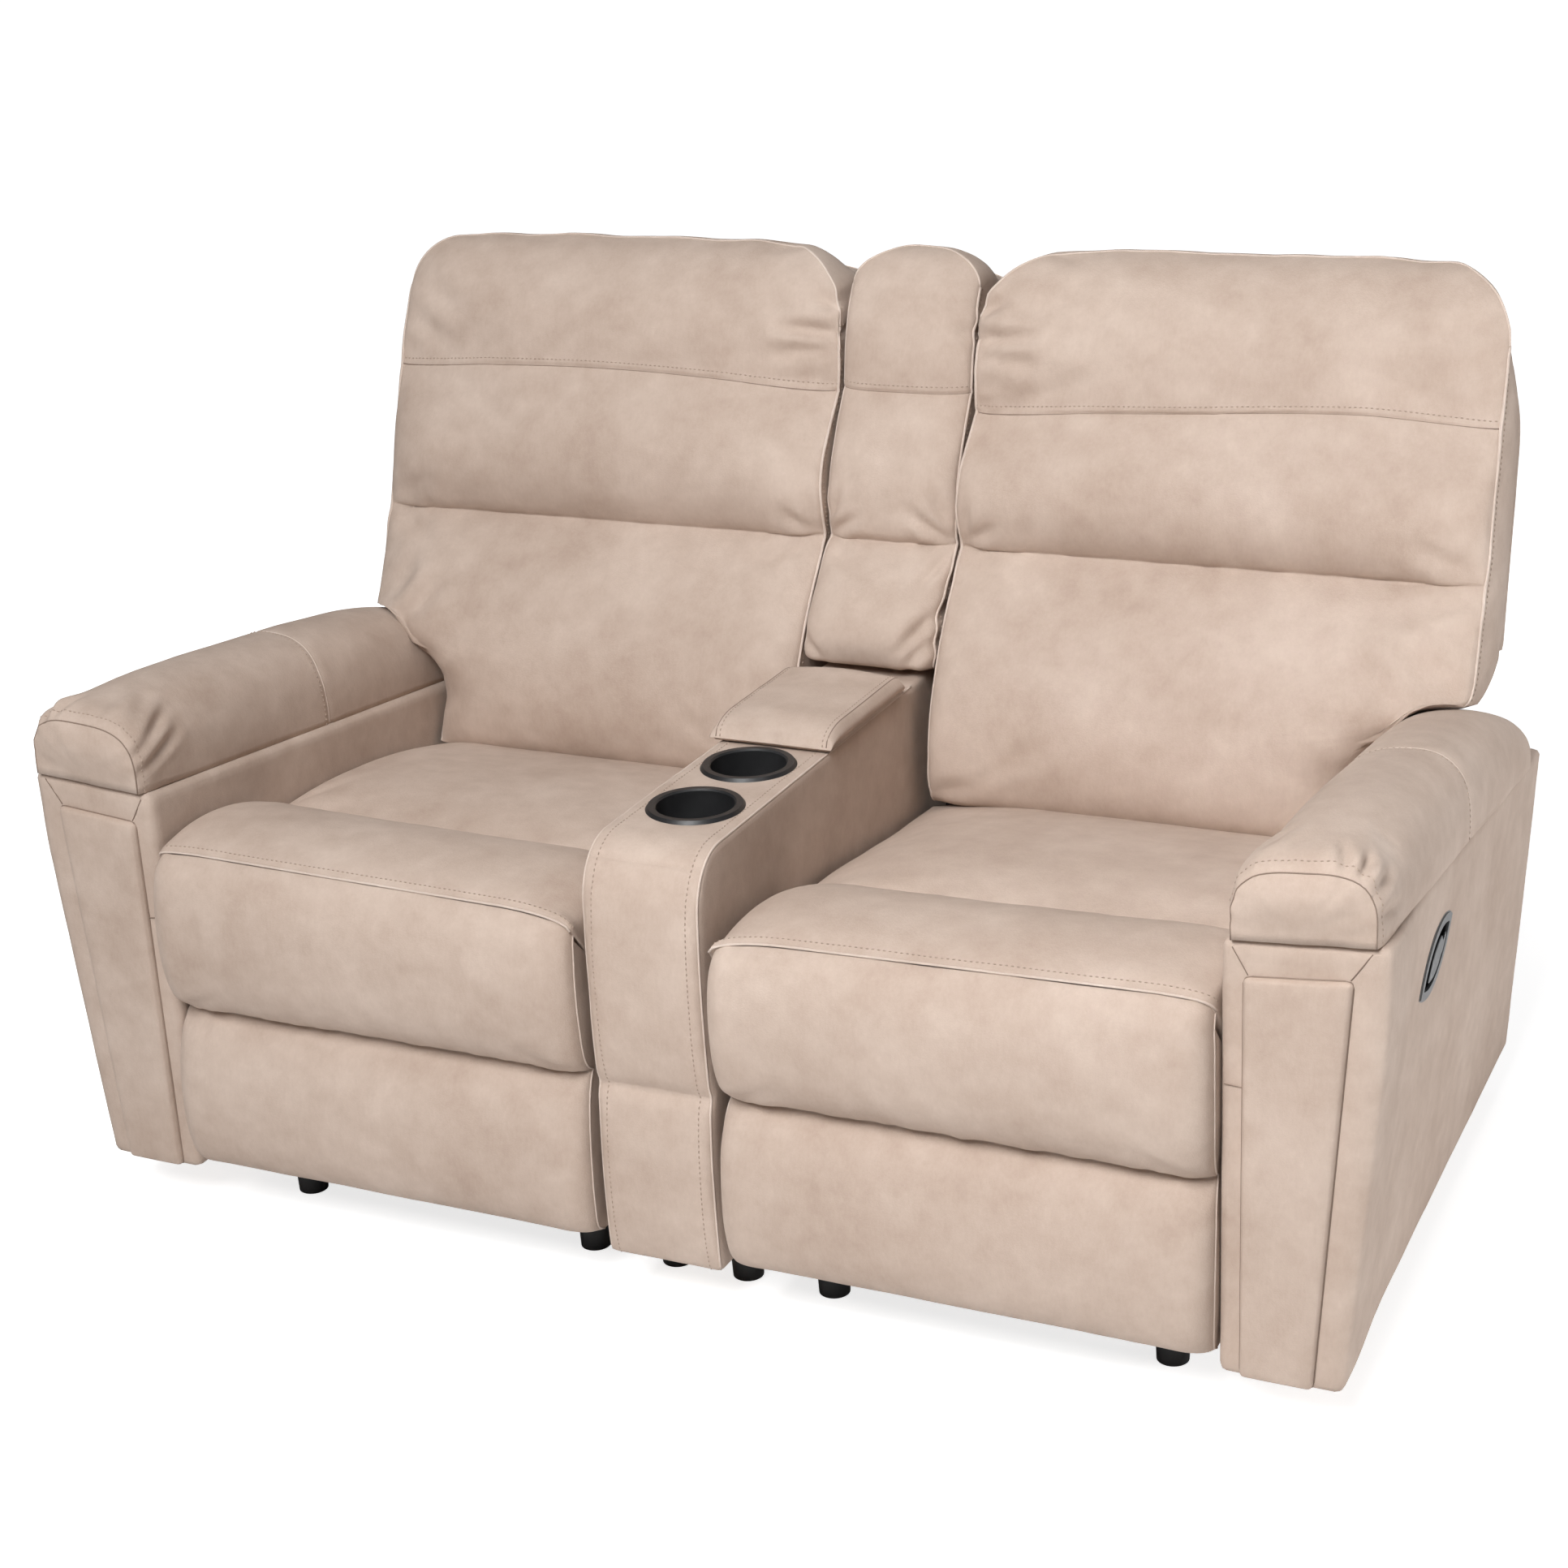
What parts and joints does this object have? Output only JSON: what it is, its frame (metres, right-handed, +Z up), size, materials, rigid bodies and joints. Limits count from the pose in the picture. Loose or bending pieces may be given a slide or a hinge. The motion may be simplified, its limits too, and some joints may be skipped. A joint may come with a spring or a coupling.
{
  "type": "home theater sofa",
  "caption": "Upholstered reclining theater sofa: padded seats with swing-out footrests and reclining backs, beside a console with cup holders and a lidded bin.",
  "frame": {"origin": "on the floor, under the middle of the sofa's bounding box", "axes": "+Z up, +X to the right as seen from the front, and the sofa faces -Y"},
  "size_m": [1.6028, 0.991, 1.0599],
  "materials": {
    "upholstery": "soft brushed suede-look cloth, beige, gently mottled",
    "timber": "raw plywood and softwood, unfinished",
    "black_steel": "black powder coat",
    "spring_steel": "bare spring steel",
    "black_plastic": "black moulded plastic, satin",
    "grey_plastic": "grey moulded plastic, satin"
  },
  "bodies": {
    "base": {"feet": "black_plastic", "rear_aprons": "upholstery", "console_cover": "upholstery", "console_sides": "upholstery", "console_frame": "timber", "console_bin": "black_plastic", "front_cup_holder": "black_plastic", "rear_cup_holder": "black_plastic", "lid_hinge_fixed": "spring_steel", "console_back_cushion": "upholstery", "console_back_cover": "upholstery", "console_back_frame": "timber", "left_seat_cushion": "upholstery", "left_seat_frame": "timber", "left_seat_springs": "spring_steel", "left_base_frame": "black_steel", "left_side_plates": "black_steel", "left_arm_body": "upholstery", "left_arm_frame": "timber", "left_arm_pad": "upholstery", "left_arm_front_panel": "upholstery", "left_handle_bezel": "grey_plastic", "right_seat_cushion": "upholstery", "right_seat_frame": "timber", "right_seat_springs": "spring_steel", "right_base_frame": "black_steel", "right_side_plates": "black_steel", "right_arm_body": "upholstery", "right_arm_frame": "timber", "right_arm_pad": "upholstery", "right_arm_front_panel": "upholstery", "right_handle_bezel": "grey_plastic"},
    "lid": {"lid_board": "timber", "lid_pad": "upholstery", "lid_hinge_moving": "spring_steel"},
    "left_back": {"left_back_cushion": "upholstery", "left_back_cover": "upholstery", "left_back_frame": "timber", "left_back_brackets": "black_steel"},
    "left_lower_link": {"left_lower_links": "black_steel", "left_torque_tube": "black_steel"},
    "left_upper_link": {"left_upper_links": "black_steel"},
    "left_guide_link": {"left_guide_links": "black_steel"},
    "left_footrest": {"left_footrest_brackets": "black_steel", "left_footrest_board": "timber", "left_footrest_pad": "upholstery"},
    "left_paddle": {"left_handle_paddle": "grey_plastic"},
    "right_back": {"right_back_cushion": "upholstery", "right_back_cover": "upholstery", "right_back_frame": "timber", "right_back_brackets": "black_steel"},
    "right_lower_link": {"right_lower_links": "black_steel", "right_torque_tube": "black_steel"},
    "right_upper_link": {"right_upper_links": "black_steel"},
    "right_guide_link": {"right_guide_links": "black_steel"},
    "right_footrest": {"right_footrest_brackets": "black_steel", "right_footrest_board": "timber", "right_footrest_pad": "upholstery"},
    "right_paddle": {"right_handle_paddle": "grey_plastic"}
  },
  "joints": [
    {"name": "left_footrest_swing", "type": "hinge", "parent": "base", "child": "left_lower_link", "pos_m": [-0.3565, -0.335, 0.3], "axis": [-1, 0, 0], "range_deg": [0, 90]},
    {"name": "left_upper_link_fold", "type": "hinge", "parent": "left_lower_link", "child": "left_upper_link", "pos_m": [-0.3565, -0.35112, 0.1157], "axis": [-1, 0, 0], "range_deg": [-169.2, 0]},
    {"name": "left_guide_link_fold", "type": "hinge", "parent": "left_lower_link", "child": "left_guide_link", "pos_m": [-0.3565, -0.34589, 0.17548], "axis": [-1, 0, 0], "range_deg": [-169.2, 0]},
    {"name": "left_footrest_turn", "type": "hinge", "parent": "left_upper_link", "child": "left_footrest", "pos_m": [-0.3565, -0.36994, 0.29472], "axis": [-1, 0, 0], "range_deg": [0, 169.2]},
    {"name": "left_back_recline", "type": "hinge", "parent": "base", "child": "left_back", "pos_m": [-0.3565, 0.225, 0.42], "axis": [-1, 0, 0], "range_deg": [0, 30]},
    {"name": "left_handle_pull", "type": "hinge", "parent": "base", "child": "left_paddle", "pos_m": [-0.78069, -0.14105, 0.4501], "axis": [0.058, 0.342, -0.9379], "range_deg": [0, 25], "stiffness_Nm_per_rad": 0.4},
    {"name": "right_footrest_swing", "type": "hinge", "parent": "base", "child": "right_lower_link", "pos_m": [0.3565, -0.335, 0.3], "axis": [-1, 0, 0], "range_deg": [0, 90]},
    {"name": "right_upper_link_fold", "type": "hinge", "parent": "right_lower_link", "child": "right_upper_link", "pos_m": [0.3565, -0.35112, 0.1157], "axis": [-1, 0, 0], "range_deg": [-169.2, 0]},
    {"name": "right_guide_link_fold", "type": "hinge", "parent": "right_lower_link", "child": "right_guide_link", "pos_m": [0.3565, -0.34589, 0.17548], "axis": [-1, 0, 0], "range_deg": [-169.2, 0]},
    {"name": "right_footrest_turn", "type": "hinge", "parent": "right_upper_link", "child": "right_footrest", "pos_m": [0.3565, -0.36994, 0.29472], "axis": [-1, 0, 0], "range_deg": [0, 169.2]},
    {"name": "right_back_recline", "type": "hinge", "parent": "base", "child": "right_back", "pos_m": [0.3565, 0.225, 0.42], "axis": [-1, 0, 0], "range_deg": [0, 30]},
    {"name": "right_handle_pull", "type": "hinge", "parent": "base", "child": "right_paddle", "pos_m": [0.78069, -0.14105, 0.4501], "axis": [0.058, -0.342, 0.9379], "range_deg": [0, 25], "stiffness_Nm_per_rad": 0.4},
    {"name": "lid_open", "type": "hinge", "parent": "base", "child": "lid", "pos_m": [0, 0.104, 0.5695], "axis": [-1, 0, 0], "range_deg": [0, 80]}
  ],
  "couplings": [
    {"joint": "left_upper_link_fold", "follows": "left_footrest_swing", "ratio": -1.8778},
    {"joint": "left_guide_link_fold", "follows": "left_footrest_swing", "ratio": -1.8778},
    {"joint": "left_footrest_turn", "follows": "left_footrest_swing", "ratio": 1.8778},
    {"joint": "right_upper_link_fold", "follows": "right_footrest_swing", "ratio": -1.8778},
    {"joint": "right_guide_link_fold", "follows": "right_footrest_swing", "ratio": -1.8778},
    {"joint": "right_footrest_turn", "follows": "right_footrest_swing", "ratio": 1.8778}
  ]
}
